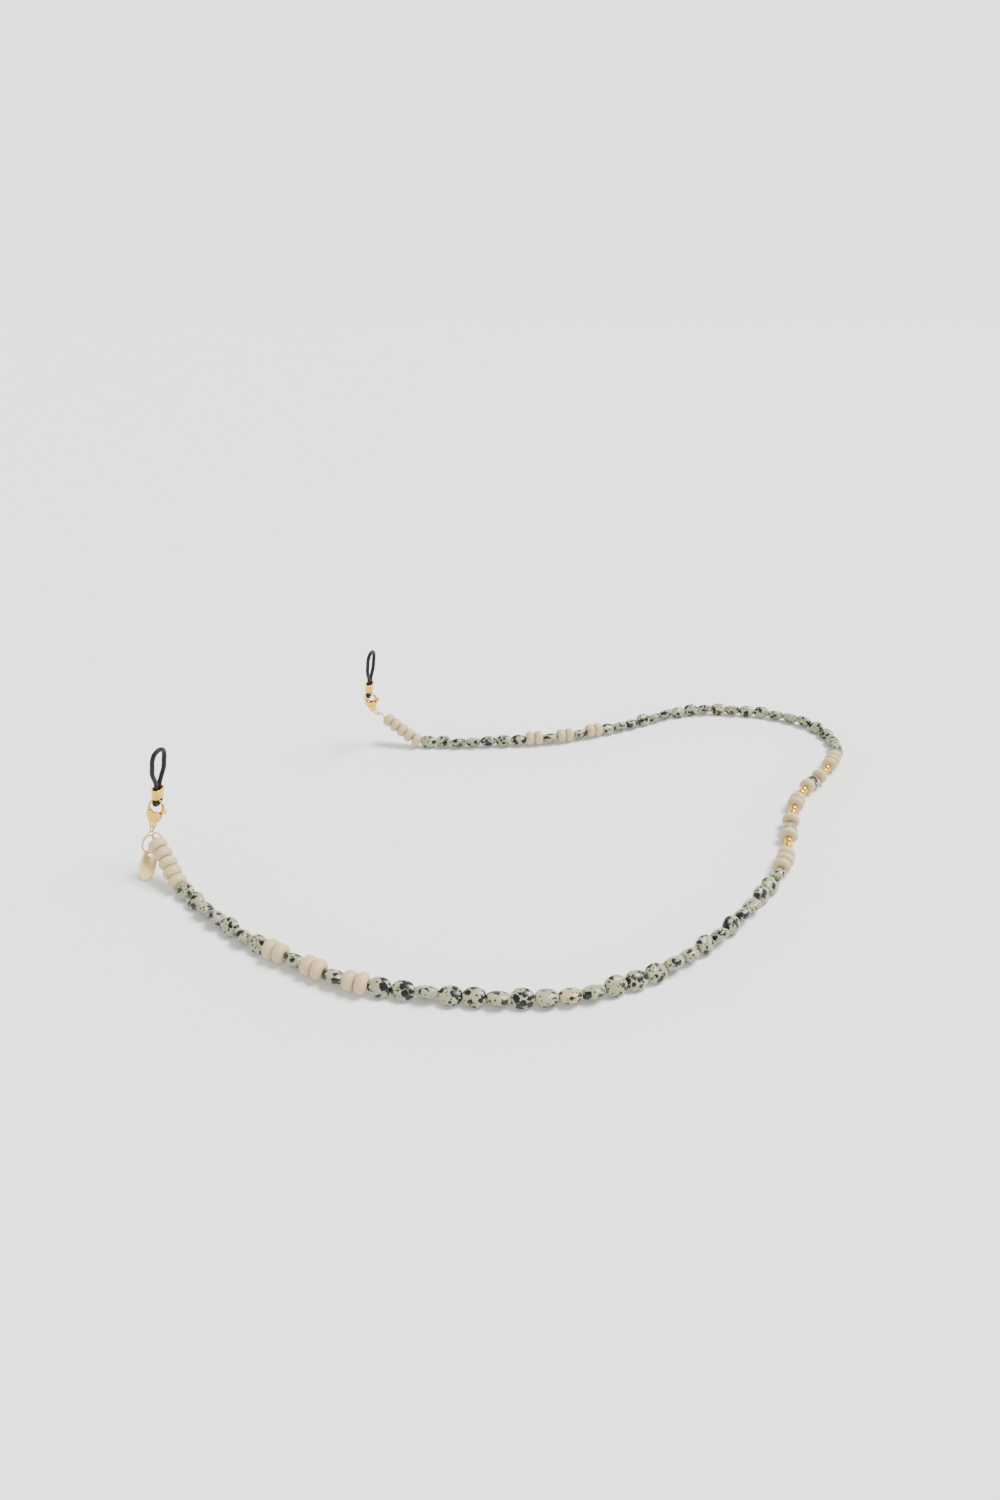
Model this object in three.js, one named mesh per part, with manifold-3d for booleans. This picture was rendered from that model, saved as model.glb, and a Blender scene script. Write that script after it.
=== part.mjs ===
// Beaded eyeglass retainer strap: a beading wire strung with flat oval stones, cream rondelles and
// round gold beads, with a lobster clasp and a rubber temple loop at each end.
// Millimetres, +Z up. The origin is the inside top of the near temple loop, where the temple bears.
// +X runs back along the temples, towards their tips.
import * as THREE from 'three';
import { mergeVertices } from 'three/addons/utils/BufferGeometryUtils.js';
import Module from 'manifold-3d';

const wasm = await Module();
wasm.setup();

// Driving dimensions.
const FLOOR_Z = -52;            // the surface that the string lies on
const FACE_GAP = 0.35;          // air left between neighbours that touch on the real strap

const WIRE_DIAMETER = 0.45;
const WIRE_STEPS = 80;
const STONE = { pitch: 8.0, width: 7.2, thick: 4.7, end: 3.3 };
const CREAM = { pitch: 4.5, width: 7.6, thick: 7.6, end: 5.8 };
const GOLD = { pitch: 3.55, width: 3.6, thick: 3.6, end: 2.6 };
const BORE_RADIUS = 1.1;
const GOLD_BORE_RADIUS = 0.85;

const CORD_RADIUS = 0.9;        // black rubber cord of the temple loops
const LOOP_HALF_WIDTH = 3.5;
const LEG_HALF_GAP = 1.0;
const SLEEVE_TOP = -17.4;
const SLEEVE_LENGTH = 4.6;
const SLEEVE_WALL = 0.5;
const SLEEVE_CLEARANCE = 0.3;
const HOOK_Z = -23.8;           // where the clasp's hook passes through the rubber eye

const HOOK_RADIUS = 2.85;       // centre line of the clasp's hook
const HOOK_WIRE = 1.1;
const CLASP_THICKNESS = 2.4;
const SLOT_WIDTH = 1.2;
const TRIGGER_THICKNESS = 0.7;
const TRIGGER_PIN = [1.0, -6.9];
const TRIGGER_REACH = 5.85;     // from the pin to the trigger's closing end
const TIP_REACH = 6.1;          // from the pin to the hook's tip, which it closes under
const PIN_RADIUS = 0.35;
const PIN_CLEARANCE = 0.2;
const TAIL_EYE_Z = -10.25;
const TAIL_EYE_RADIUS = 1.5;
const TAIL_HOLE_RADIUS = 0.9;
const TAIL_THICKNESS = 1.0;
const RING_RADIUS = 1.8;        // centre line of the end ring
const RING_WIRE = 0.6;
const RING_REST = 0.2;          // from the tail eye's middle to the ring's wire
const WIRE_LOOP_RADIUS = 0.98;
const CRIMP = { length: 1.3, outer: 0.9, bore: 0.6 };
const CRIMP_GAP = 0.15;         // from the crimp to where the string's first pitch starts

const TAG_RING_RADIUS = 4.3;
const TAG_RING_WIRE = 0.8;
const TAG_RING_DOWN = [-0.12, -0.4, -0.91];
const TAG_RING_ALONG = 1.25;    // from the end ring's wire to the tag ring, along the string
const TAG_RING_LIFT = 1.65;     // from the string's line to the tag ring's centre line
const TAG = { width: 8.0, length: 12.6, thickness: 0.9, holeRadius: 1.15, holeInset: 2.0 };
const TAG_DOWN = [0.08, -0.62, -0.78];
const TAG_ACROSS = [0.97, 0.05, 0.15];

const ENDS = {
  near: {
    apex: [0, 0, 0], tilt: 14.5, lean: 0,
    claspDown: [-0.12, -0.41, -0.905], claspTurn: 20, ringSwing: 0,
  },
  far: {
    apex: [33.7, 119.2, 0], tilt: 10.5, lean: 6,
    claspDown: [0.05, 0.2, -0.98], claspTurn: 16, ringSwing: 40,
  },
};

// The wire's route, from the near crimp to the far one.
const ROUTE = [
  [-6.8, -6.3, -36.1], [-4.0, -8.0, -37.7], [2.9, -11.8, -42.4], [9.4, -16.0, -47.0], [15.3, -19.3, -48.8],
  [35.7, -28.7, -49.0], [56.0, -36.4, -48.8], [78.0, -41.1, -48.4], [101.4, -44.4, -48.5],
  [122.7, -41.5, -49.0], [142.8, -37.7, -49.0], [162.8, -31.9, -49.0], [180.8, -22.9, -49.0],
  [196.1, -10.6, -49.0], [208.5, 4.0, -49.0], [218.8, 19.2, -49.0], [227.6, 37.0, -49.0],
  [235.3, 55.0, -48.7], [240.1, 71.2, -48.4], [241.9, 92.0, -48.4], [243.6, 111.5, -48.4],
  [248.6, 132.5, -48.4], [257.1, 150.2, -48.4], [263.0, 167.5, -48.5], [266.0, 184.5, -49.0],
  [261.3, 200.0, -49.0], [249.5, 211.6, -49.0], [234.7, 216.0, -49.0], [215.7, 214.9, -49.0],
  [196.3, 210.6, -49.0], [179.5, 201.0, -49.0], [162.4, 183.8, -49.0], [144.4, 167.0, -48.7],
  [121.8, 150.2, -48.4], [74.2, 130.0, -49.0], [58.9, 125.6, -48.8],
  [52.4, 124.2, -47.1], [44.6, 124.7, -43.0], [36.5, 125.5, -38.4], [33.4, 125.7, -36.3],
];

// The string from the near end: runs of like beads. A long run is split where it is joined in CAD.
const STRING = [
  ['cream', 5], ['stone', 4], ['stone', 3], ['cream', 2], ['stone', 1], ['cream', 2], ['stone', 1],
  ['cream', 2], ['stone', 5], ['stone', 5], ['stone', 5], ['stone', 4], ['stone', 4], ['cream', 3],
  ['gold', 3], ['cream', 1], ['stone', 1], ['cream', 1], ['gold', 3], ['cream', 2], ['gold', 3],
  ['cream', 1], ['stone', 1], ['cream', 1], ['gold', 3], ['cream', 3], ['stone', 5], ['stone', 4],
  ['stone', 4], ['stone', 4], ['stone', 4], ['cream', 2], ['stone', 1], ['cream', 2], ['stone', 1],
  ['cream', 2], ['stone', 4], ['stone', 3], ['cream', 5],
];
// How far each stone is rolled about the wire, in degrees from lying flat: outer edge down is positive.
const ROLLS = [35, 30, -48, -40, 50, -48, 52, -50, -25, 50, 30, -48, 15, 25, -20, 35, 10, -15, -30, 55];

// Materials.
const gold = () => new THREE.MeshStandardMaterial({ color: 0xd8ab4e, roughness: 0.22, metalness: 1 });
const paleGold = () => new THREE.MeshStandardMaterial({ color: 0xe6cfa6, roughness: 0.3, metalness: 1 });
const steel = () => new THREE.MeshStandardMaterial({ color: 0xc9c9c4, roughness: 0.35, metalness: 1 });
const rubber = () => new THREE.MeshStandardMaterial({ color: 0x1c1a1a, roughness: 0.6, metalness: 0 });
const stone = () => new THREE.MeshStandardMaterial({ color: 0xc9cbb5, roughness: 0.25, metalness: 0 });
const cream = () => new THREE.MeshStandardMaterial({ color: 0xd9c7ac, roughness: 0.7, metalness: 0 });

// Solids.
const vec = (a) => new THREE.Vector3(...a);
const degrees = THREE.MathUtils.degToRad;

function solid(geometry, matrix = new THREE.Matrix4()) {
  const bare = geometry.clone().applyMatrix4(matrix);
  bare.deleteAttribute('normal');
  bare.deleteAttribute('uv');
  const merged = mergeVertices(bare, 1e-4);
  return new wasm.Manifold(new wasm.Mesh({
    numProp: 3,
    vertProperties: merged.attributes.position.array,
    triVerts: Uint32Array.from(merged.index.array),
  }));
}

function geometryOf(manifold) {
  const mesh = manifold.getMesh();
  const geometry = new THREE.BufferGeometry();
  geometry.setAttribute('position', new THREE.BufferAttribute(mesh.vertProperties, 3));
  geometry.setIndex(new THREE.BufferAttribute(mesh.triVerts, 1));
  geometry.computeVertexNormals();
  return geometry;
}

function named(name, geometry, material) {
  const mesh = new THREE.Mesh(geometry, material);
  mesh.name = name;
  return mesh;
}

// A round tube along a curve.
function tube(curve, radius, steps, sides = 8) {
  const section = new THREE.Shape();
  section.absarc(0, 0, radius, 0, 2 * Math.PI, false);
  return new THREE.ExtrudeGeometry(section, { steps, curveSegments: sides / 2, extrudePath: curve });
}

// A smooth curve through points, measured finely enough for even steps.
function through(points, divisions = 400) {
  const curve = new THREE.CatmullRomCurve3(points, false, 'centripetal');
  curve.arcLengthDivisions = divisions;
  return curve;
}

// A cylinder along local Y, as the pin and its holes are.
function crossCylinder(x, z, radius, length, sides = 12) {
  const shape = new THREE.CylinderGeometry(radius, radius, length, sides);
  return shape.translate(x, 0, z);
}

// The strap's rubber cord: up the big loop, down through the sleeve, round the small eye and back.
function rubberLoop() {
  const leg = [
    [LOOP_HALF_WIDTH, -2.4], [LOOP_HALF_WIDTH, -5.5], [LOOP_HALF_WIDTH - 0.1, -9.0],
    [2.1, -12.4], [LEG_HALF_GAP + 0.15, -14.8], [LEG_HALF_GAP, -16.2], [LEG_HALF_GAP, -19.2],
  ];
  const crown = [[LOOP_HALF_WIDTH * 0.707, -0.07]];
  const eye = [[LEG_HALF_GAP, -22.1], [1.5, -22.9], [1.9, -24.0], [1.35, -25.25]];
  const right = [...crown, ...leg, ...eye];
  const left = right.map(([y, z]) => [-y, z]).reverse();
  const join = left.findIndex(([, z]) => z > -19.3);
  const outline = [
    [-LEG_HALF_GAP, -18.9], ...left.slice(join + 1), [0, CORD_RADIUS], ...right,
    [0, -25.75], ...left.slice(0, join), [-LEG_HALF_GAP, -19.3],
  ];
  return tube(through(outline.map(([y, z]) => new THREE.Vector3(0, y, z))), CORD_RADIUS, 52);
}

// A stadium outline, as the sleeve's section has: wide across the two legs of the cord.
function stadium(Type, halfWidth, radius) {
  const outline = new Type();
  const reach = halfWidth - radius;
  outline.absarc(0, reach, radius, 0, Math.PI, false);
  outline.absarc(0, -reach, radius, Math.PI, 2 * Math.PI, false);
  outline.closePath();
  return outline;
}

function sleeve() {
  const hole = CORD_RADIUS + SLEEVE_CLEARANCE;
  const holeHalf = LEG_HALF_GAP + CORD_RADIUS + SLEEVE_CLEARANCE;
  const outline = stadium(THREE.Shape, holeHalf + SLEEVE_WALL, hole + SLEEVE_WALL);
  outline.holes.push(stadium(THREE.Path, holeHalf, hole));
  const shape = new THREE.ExtrudeGeometry(outline, {
    depth: SLEEVE_LENGTH, bevelEnabled: false, curveSegments: 5,
  });
  return shape.translate(0, 0, SLEEVE_TOP - SLEEVE_LENGTH);
}

// The clasp lies in its own XZ plane, with the top of the hook's centre line at the origin.
const hookPoint = (angle, radius = HOOK_RADIUS) => [
  radius * Math.cos(degrees(angle)), -HOOK_RADIUS + radius * Math.sin(degrees(angle)),
];

function plate(outline, thickness) {
  const shape = new THREE.ExtrudeGeometry(outline, {
    depth: thickness, bevelEnabled: false, curveSegments: 6,
  });
  return shape.translate(0, 0, -thickness / 2).rotateX(Math.PI / 2);
}

function claspBody() {
  const angles = [28, 50, 72, 96, 122, 148, 174, 202, 230, 256];
  const hook = through(angles.map((a) => hookPoint(a)).map(([x, z]) => new THREE.Vector3(x, 0, z)));
  const inner = HOOK_RADIUS - HOOK_WIRE / 2 + 0.1;
  const outline = new THREE.Shape();
  outline.absarc(0, -HOOK_RADIUS, inner, degrees(-42), degrees(-152), true);
  outline.lineTo(-3.1, -4.4);
  outline.quadraticCurveTo(-2.9, -7.4, -0.95, TAIL_EYE_Z + 0.7);
  outline.lineTo(0.95, TAIL_EYE_Z + 0.7);
  outline.quadraticCurveTo(2.7, -8.2, 2.8, -5.4);
  outline.closePath();
  const slot = new THREE.BoxGeometry(5.6, SLOT_WIDTH, 4.6).translate(1.3, 0, -6.2);
  const tail = crossCylinder(0, TAIL_EYE_Z, TAIL_EYE_RADIUS, TAIL_THICKNESS, 16);
  const tailHole = crossCylinder(0, TAIL_EYE_Z, TAIL_HOLE_RADIUS, 3, 12);
  const pinHole = crossCylinder(...TRIGGER_PIN, PIN_RADIUS + PIN_CLEARANCE, 4);
  const body = solid(plate(outline, CLASP_THICKNESS)).subtract(solid(slot));
  const sweep = solid(crossCylinder(...TRIGGER_PIN, TIP_REACH, 4, 48));
  const tipSide = solid(new THREE.BoxGeometry(4, 4, 3).translate(2.6, 0, -0.8));
  const bow = solid(tube(hook, HOOK_WIRE / 2, 16)).subtract(sweep.intersect(tipSide));
  return geometryOf(body.add(bow).add(solid(tail)).subtract(solid(tailHole)).subtract(solid(pinHole)));
}

function trigger() {
  const outer = HOOK_RADIUS + HOOK_WIRE / 2;
  const inner = HOOK_RADIUS - HOOK_WIRE / 2 + 0.1;
  const outline = new THREE.Shape();
  outline.absarc(...TRIGGER_PIN, TRIGGER_REACH, degrees(84), degrees(69.5), true);
  outline.absarc(0, -HOOK_RADIUS, outer, degrees(24), degrees(-6), true);
  outline.lineTo(4.5, -4.0);
  outline.lineTo(4.3, -4.9);
  outline.lineTo(3.0, -5.1);
  outline.lineTo(2.1, -6.9);
  outline.absarc(...TRIGGER_PIN, 1.1, degrees(-10), degrees(-200), true);
  outline.lineTo(1.1, -5.3);
  outline.absarc(0, -HOOK_RADIUS, inner, degrees(-40), degrees(46), false);
  outline.closePath();
  const hole = crossCylinder(...TRIGGER_PIN, PIN_RADIUS + PIN_CLEARANCE, 3);
  return geometryOf(solid(plate(outline, TRIGGER_THICKNESS)).subtract(solid(hole)));
}

// The trigger's return spring: a small coil wound about a line across the clasp, beside the hub.
function triggerSpring() {
  const turns = 3;
  const radius = 0.3;
  const points = [];
  for (let i = 0; i <= turns * 8; i += 1) {
    const angle = (i / 8) * 2 * Math.PI;
    const along = (i / (turns * 8) - 0.5) * 0.6;
    points.push(new THREE.Vector3(-0.75 + radius * Math.cos(angle), along, -6.6 + radius * Math.sin(angle)));
  }
  return tube(through(points), 0.09, turns * 8, 6);
}

const ring = (radius, wire, sides) => new THREE.TorusGeometry(radius, wire / 2, 8, sides);

// A pipe along local Z.
function pipe(length, outer, bore, sides = 12) {
  const profile = [[bore, 0], [outer, 0], [outer, length], [bore, length], [bore, 0]];
  const shape = new THREE.LatheGeometry(profile.map(([r, z]) => new THREE.Vector2(r, z)), sides);
  return shape.rotateX(Math.PI / 2);
}

function tagPlate() {
  const outline = new THREE.Shape();
  outline.absellipse(0, 0, TAG.width / 2, TAG.length / 2, 0, 2 * Math.PI, false, 0);
  const disc = new THREE.ExtrudeGeometry(outline, {
    depth: TAG.thickness, bevelEnabled: false, curveSegments: 14,
  }).translate(0, TAG.holeInset - TAG.length / 2, -TAG.thickness / 2);
  const hole = new THREE.CylinderGeometry(TAG.holeRadius, TAG.holeRadius, 3, 12).rotateX(Math.PI / 2);
  return geometryOf(solid(disc).subtract(solid(hole)));
}

// The frame of a point along the wire: a place, the wire's direction, and up and outwards from it.
function station(curve, distance) {
  const u = THREE.MathUtils.clamp(distance / curve.getLength(), 0, 1);
  const place = curve.getPointAt(u);
  const along = curve.getTangentAt(u).normalize();
  const up = new THREE.Vector3(0, 0, 1).addScaledVector(along, -along.z).normalize();
  const out = new THREE.Vector3().crossVectors(along, up);
  return { place, along, up, out };
}

const KINDS = {
  stone: { size: STONE, bore: BORE_RADIUS, limit: 0.35, segments: 8, material: stone },
  cream: { size: CREAM, bore: BORE_RADIUS, limit: 0.5, segments: 10, material: cream },
  gold: { size: GOLD, bore: GOLD_BORE_RADIUS, limit: 0, segments: 8, material: gold },
};

// Half a bead's outline, from its end face to its middle: [share of the half length, radius].
const OUTLINES = {
  stone: [[1, STONE.end / 2], [0.62, 0.82 * STONE.width / 2], [0, STONE.width / 2]],
  cream: [[1, CREAM.end / 2], [0.45, CREAM.width / 2]],
  gold: [[1, GOLD.end / 2], [0.45, GOLD.width / 2]],
};

// How far a bead sits above the wire: on the floor where the wire lies low, else centred on it.
function riseOf(curve, middle, { size, limit }, angle) {
  const rest = Math.hypot(size.width / 2 * Math.sin(angle), size.thick / 2 * Math.cos(angle));
  const height = curve.getPointAt(middle / curve.getLength()).z - FLOOR_Z;
  return height > size.width / 2 + 1 ? 0 : THREE.MathUtils.clamp(rest - height, -limit, limit);
}

// A run of touching beads of one kind: turned as one lathe form, then bent along the wire, with
// each bead flattened and rolled by its own amount. Its ends stop short of the runs beside it.
function beadRun(curve, kind, count, start, firstStone) {
  const { size, bore, segments } = KINDS[kind];
  const half = size.pitch / 2;
  const reach = count * size.pitch;
  const profile = [];
  for (let i = 0; i < count; i += 1) {
    const sides = OUTLINES[kind].map(([share, radius]) => [-share * half, radius]);
    const outline = [...sides, ...sides.map(([y, radius]) => [-y, radius]).reverse()];
    outline.forEach(([y, radius]) => {
      const place = new THREE.Vector2(radius, (i + 0.5) * size.pitch + y);
      if (!profile.length || profile.at(-1).distanceTo(place) > 1e-6) profile.push(place);
    });
  }
  for (let i = count; i >= 0; i -= 1) profile.push(new THREE.Vector2(bore, i * size.pitch));
  profile.push(profile[0].clone());
  const shape = new THREE.LatheGeometry(profile, segments);
  const flat = size.thick / size.width;
  const eighth = 2 * Math.PI / segments;
  const positions = shape.attributes.position;
  for (let k = 0; k < positions.count; k += 1) {
    const [x, y, z] = [positions.getX(k), positions.getY(k), positions.getZ(k)];
    const radius = Math.hypot(x, z);
    const bead = THREE.MathUtils.clamp(Math.floor(y / size.pitch), 0, count - 1);
    const roll = kind === 'stone' ? -degrees(ROLLS[(firstStone + bead) % ROLLS.length]) : 0;
    const rise = riseOf(curve, start + (bead + 0.5) * size.pitch, KINDS[kind], roll);
    const inner = radius < bore + 1e-3;
    const face = Math.abs(y / size.pitch - Math.round(y / size.pitch)) < 1e-6;
    const turned = inner || face ? 0 : roll;
    const theta = Math.atan2(z, x) - Math.round(turned / eighth) * eighth;
    const side = radius * Math.cos(theta);
    const tall = radius * Math.sin(theta) * (inner || face ? 1 : flat);
    const inset = THREE.MathUtils.clamp(y, FACE_GAP / 2, reach - FACE_GAP / 2);
    const at = station(curve, start + inset);
    const point = at.place.addScaledVector(at.up, inner || face ? 0 : rise);
    point.addScaledVector(at.out, side * Math.cos(turned) - tall * Math.sin(turned));
    point.addScaledVector(at.up, side * Math.sin(turned) + tall * Math.cos(turned));
    positions.setXYZ(k, point.x, point.y, point.z);
  }
  return geometryOf(solid(shape));
}

// The wire's loop round an end ring, its two legs closing into the crimp.
function wireLoop(ringPoint, crimpStart, ringDirection) {
  const down = crimpStart.clone().sub(ringPoint);
  const reach = down.length();
  down.normalize();
  const across = new THREE.Vector3().crossVectors(ringDirection, down).normalize();
  const round = WIRE_LOOP_RADIUS * Math.SQRT1_2;
  const half = [[reach + 0.9, 0.2], [reach + 0.2, 0.26], [reach * 0.55, 0.68], [0, WIRE_LOOP_RADIUS], [-round, round]];
  const spread = [...half, [-WIRE_LOOP_RADIUS, 0], ...half.map(([d, w]) => [d, -w]).reverse()];
  const points = spread.map(([along, aside]) => ringPoint.clone()
    .addScaledVector(down, along).addScaledVector(across, aside));
  return tube(through(points), WIRE_DIAMETER / 2, 18);
}

// One end: the temple loop group hangs from its apex, and the clasp group from the loop's eye.
function endAssembly(side) {
  const { apex, tilt, lean, claspDown, claspTurn, ringSwing } = ENDS[side];
  const loop = new THREE.Group();
  loop.position.set(...apex);
  loop.rotation.set(degrees(lean), degrees(tilt), 0);
  loop.add(named(`${side}_rubber_loop`, rubberLoop(), rubber()));
  loop.add(named(`${side}_sleeve`, sleeve(), gold()));
  loop.updateMatrix();

  const clasp = new THREE.Group();
  const up = vec(claspDown).normalize().negate();
  const turn = degrees(claspTurn);
  const flat = new THREE.Vector3(Math.cos(turn), Math.sin(turn), 0);
  const width = flat.addScaledVector(up, -flat.dot(up)).normalize();
  const axis = new THREE.Vector3().crossVectors(up, width);
  const basis = new THREE.Matrix4().makeBasis(width, axis, up);
  clasp.quaternion.setFromRotationMatrix(basis);
  clasp.position.copy(new THREE.Vector3(0, 0, HOOK_Z).applyMatrix4(loop.matrix));
  clasp.add(named(`${side}_clasp_body`, claspBody(), gold()));
  clasp.add(named(`${side}_trigger`, trigger(), gold()));
  clasp.add(named(`${side}_trigger_pin`, crossCylinder(...TRIGGER_PIN, PIN_RADIUS, 2.9), gold()));
  clasp.add(named(`${side}_trigger_spring`, triggerSpring(), steel()));
  clasp.updateMatrix();

  const swing = degrees(ringSwing);
  const hang = up.clone().multiplyScalar(-Math.cos(swing)).addScaledVector(width, Math.sin(swing));
  const normal = new THREE.Vector3().crossVectors(hang, axis);
  const tailPoint = new THREE.Vector3(0, 0, TAIL_EYE_Z).applyMatrix4(clasp.matrix);
  tailPoint.addScaledVector(hang, RING_REST);
  const endRing = named(`${side}_end_ring`, ring(RING_RADIUS, RING_WIRE, 18), gold());
  endRing.quaternion.setFromRotationMatrix(new THREE.Matrix4().makeBasis(hang, axis, normal));
  endRing.position.copy(tailPoint).addScaledVector(hang, RING_RADIUS);
  const ringPoint = tailPoint.clone().addScaledVector(hang, 2 * RING_RADIUS);
  return { loop, clasp, endRing, ringPoint, ringDirection: axis };
}

const strap = new THREE.Group();
const ends = { near: endAssembly('near'), far: endAssembly('far') };
for (const { loop, clasp, endRing } of Object.values(ends)) strap.add(loop, clasp, endRing);

// The string.
const route = through(ROUTE.map(vec), 4000);
const routeLength = route.getLength();
const beadTotal = STRING.reduce((sum, [kind, count]) => sum + count * KINDS[kind].size.pitch, 0);
const margin = (routeLength - beadTotal) / 2;
const crimpAt = margin - CRIMP_GAP - CRIMP.length;
const wireParts = [solid(tube(route, WIRE_DIAMETER / 2, WIRE_STEPS))];
for (const [side, start] of [['near', crimpAt], ['far', routeLength - crimpAt - CRIMP.length]]) {
  const at = station(route, start);
  const crimp = named(`${side}_crimp`, pipe(CRIMP.length, CRIMP.outer, CRIMP.bore), gold());
  crimp.quaternion.setFromUnitVectors(new THREE.Vector3(0, 0, 1), at.along);
  crimp.position.copy(at.place);
  strap.add(crimp);
  const tip = vec(side === 'near' ? ROUTE[0] : ROUTE.at(-1));
  wireParts.push(solid(wireLoop(ends[side].ringPoint, tip, ends[side].ringDirection)));
}
strap.add(named('beading_wire', geometryOf(wireParts.reduce((a, b) => a.add(b))), steel()));

// The tag's ring hangs round the string's near end, the tag's lower edge just off the floor.
function hung(mesh, top, down, across) {
  const up = down.clone().negate();
  const side = across.clone().addScaledVector(up, -across.dot(up)).normalize();
  const face = new THREE.Vector3().crossVectors(side, up);
  mesh.quaternion.setFromRotationMatrix(new THREE.Matrix4().makeBasis(side, up, face));
  mesh.position.copy(top);
  strap.add(mesh);
}
const stringStart = station(route, 1).along;
const ringDown = vec(TAG_RING_DOWN).normalize();
const lift = ringDown.clone().addScaledVector(stringStart, -ringDown.dot(stringStart)).normalize();
const ringTop = ends.near.ringPoint.clone()
  .addScaledVector(stringStart, TAG_RING_ALONG).addScaledVector(lift, -TAG_RING_LIFT);
const ringCentre = ringTop.clone().addScaledVector(ringDown, TAG_RING_RADIUS);
const ringAcross = new THREE.Vector3().crossVectors(stringStart, ringDown);
hung(named('tag_ring', ring(TAG_RING_RADIUS, TAG_RING_WIRE, 24), paleGold()), ringCentre, ringDown, ringAcross);
const tagDown = vec(TAG_DOWN).normalize();
const tagHole = ringTop.clone().addScaledVector(ringDown, 2 * TAG_RING_RADIUS).addScaledVector(tagDown, 0.3);
hung(named('tag', tagPlate(), paleGold()), tagHole, tagDown, vec(TAG_ACROSS));

let distance = margin;
let stones = 0;
STRING.forEach(([kind, count], index) => {
  const label = String(index + 1).padStart(2, '0');
  const geometry = beadRun(route, kind, count, distance, stones);
  strap.add(named(`${kind}_beads_${label}`, geometry, KINDS[kind].material()));
  distance += count * KINDS[kind].size.pitch;
  stones += kind === 'stone' ? count : 0;
});

export default strap;
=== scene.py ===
import math
import random

import bmesh
import bpy
from mathutils import Matrix, Vector


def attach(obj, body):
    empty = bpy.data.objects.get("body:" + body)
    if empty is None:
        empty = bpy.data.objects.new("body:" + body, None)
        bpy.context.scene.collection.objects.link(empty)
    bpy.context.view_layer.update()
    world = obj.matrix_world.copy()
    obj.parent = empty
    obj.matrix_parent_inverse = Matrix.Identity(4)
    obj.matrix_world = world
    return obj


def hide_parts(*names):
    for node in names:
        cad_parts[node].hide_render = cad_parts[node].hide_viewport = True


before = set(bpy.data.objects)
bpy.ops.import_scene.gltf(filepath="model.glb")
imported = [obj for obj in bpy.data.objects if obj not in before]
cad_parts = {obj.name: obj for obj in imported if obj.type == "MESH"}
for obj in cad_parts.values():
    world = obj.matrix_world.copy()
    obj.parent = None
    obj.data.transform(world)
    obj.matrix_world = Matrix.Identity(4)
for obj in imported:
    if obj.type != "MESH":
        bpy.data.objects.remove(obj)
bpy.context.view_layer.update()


# ---- Camera -------------------------------------------------------------------------------------
# A three-quarter view from in front and above, over the open side of the strap's curve.
camera_data = bpy.data.cameras.new("camera")
camera_data.sensor_width = 36.0
camera_data.lens = 19.08
camera = bpy.data.objects.new("camera", camera_data)
camera.location = (0.2083, -0.2190, 0.1475)
camera.rotation_euler = (math.radians(61.65), 0.0, math.radians(17.5))
bpy.context.scene.collection.objects.link(camera)
bpy.context.scene.camera = camera


# ---- Beading wire -------------------------------------------------------------------------------
# Fine nylon-coated steel wire that carries every bead. It lies in an open curve on the surface, and
# rises at both ends to the clasps. Each end is doubled back through a crimp tube.
def material(name, colour, roughness, metallic=0.0):
    """A new material, with its nodes, its links and the shader that gives it its look."""
    made = bpy.data.materials.new(name)
    made.use_nodes = True
    surface = made.node_tree.nodes["Principled BSDF"]
    surface.inputs["Base Color"].default_value = (*colour, 1.0)
    surface.inputs["Roughness"].default_value = roughness
    surface.inputs["Metallic"].default_value = metallic
    return made, made.node_tree.nodes, made.node_tree.links, surface


def smooth_line(points, per_span=24):
    """The centripetal Catmull-Rom curve through the points, as many close points."""
    ends = [points[0] * 2 - points[1], *points, points[-1] * 2 - points[-2]]
    line = []
    for a, b, c, d in zip(ends, ends[1:], ends[2:], ends[3:]):
        t0, t1, t2 = ((q - p).length ** 0.5 for p, q in ((a, b), (b, c), (c, d)))
        out = ((b - a) / t0 - (c - a) / (t0 + t1) + (c - b) / t1) * t1
        back = ((c - b) / t1 - (d - b) / (t1 + t2) + (d - c) / t2) * t1
        for i in range(per_span):
            t = i / per_span
            line.append(
                b * (2 * t**3 - 3 * t**2 + 1)
                + out * (t**3 - 2 * t**2 + t)
                + c * (-2 * t**3 + 3 * t**2)
                + back * (t**3 - t**2)
            )
    return [*line, points[-1].copy()]


def add_curve(name, line, thickness, made):
    """A new round wire along a line of places, with closed ends."""
    data = bpy.data.curves.new(name, "CURVE")
    data.dimensions = "3D"
    data.bevel_depth = thickness / 2
    data.bevel_resolution = 3
    data.use_fill_caps = True
    spline = data.splines.new("POLY")
    spline.points.add(len(line) - 1)
    for point, place in zip(spline.points, line):
        point.co = (*place, 1.0)
    data.materials.append(made)
    piece = bpy.data.objects.new(name, data)
    bpy.context.scene.collection.objects.link(piece)
    return piece


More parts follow.
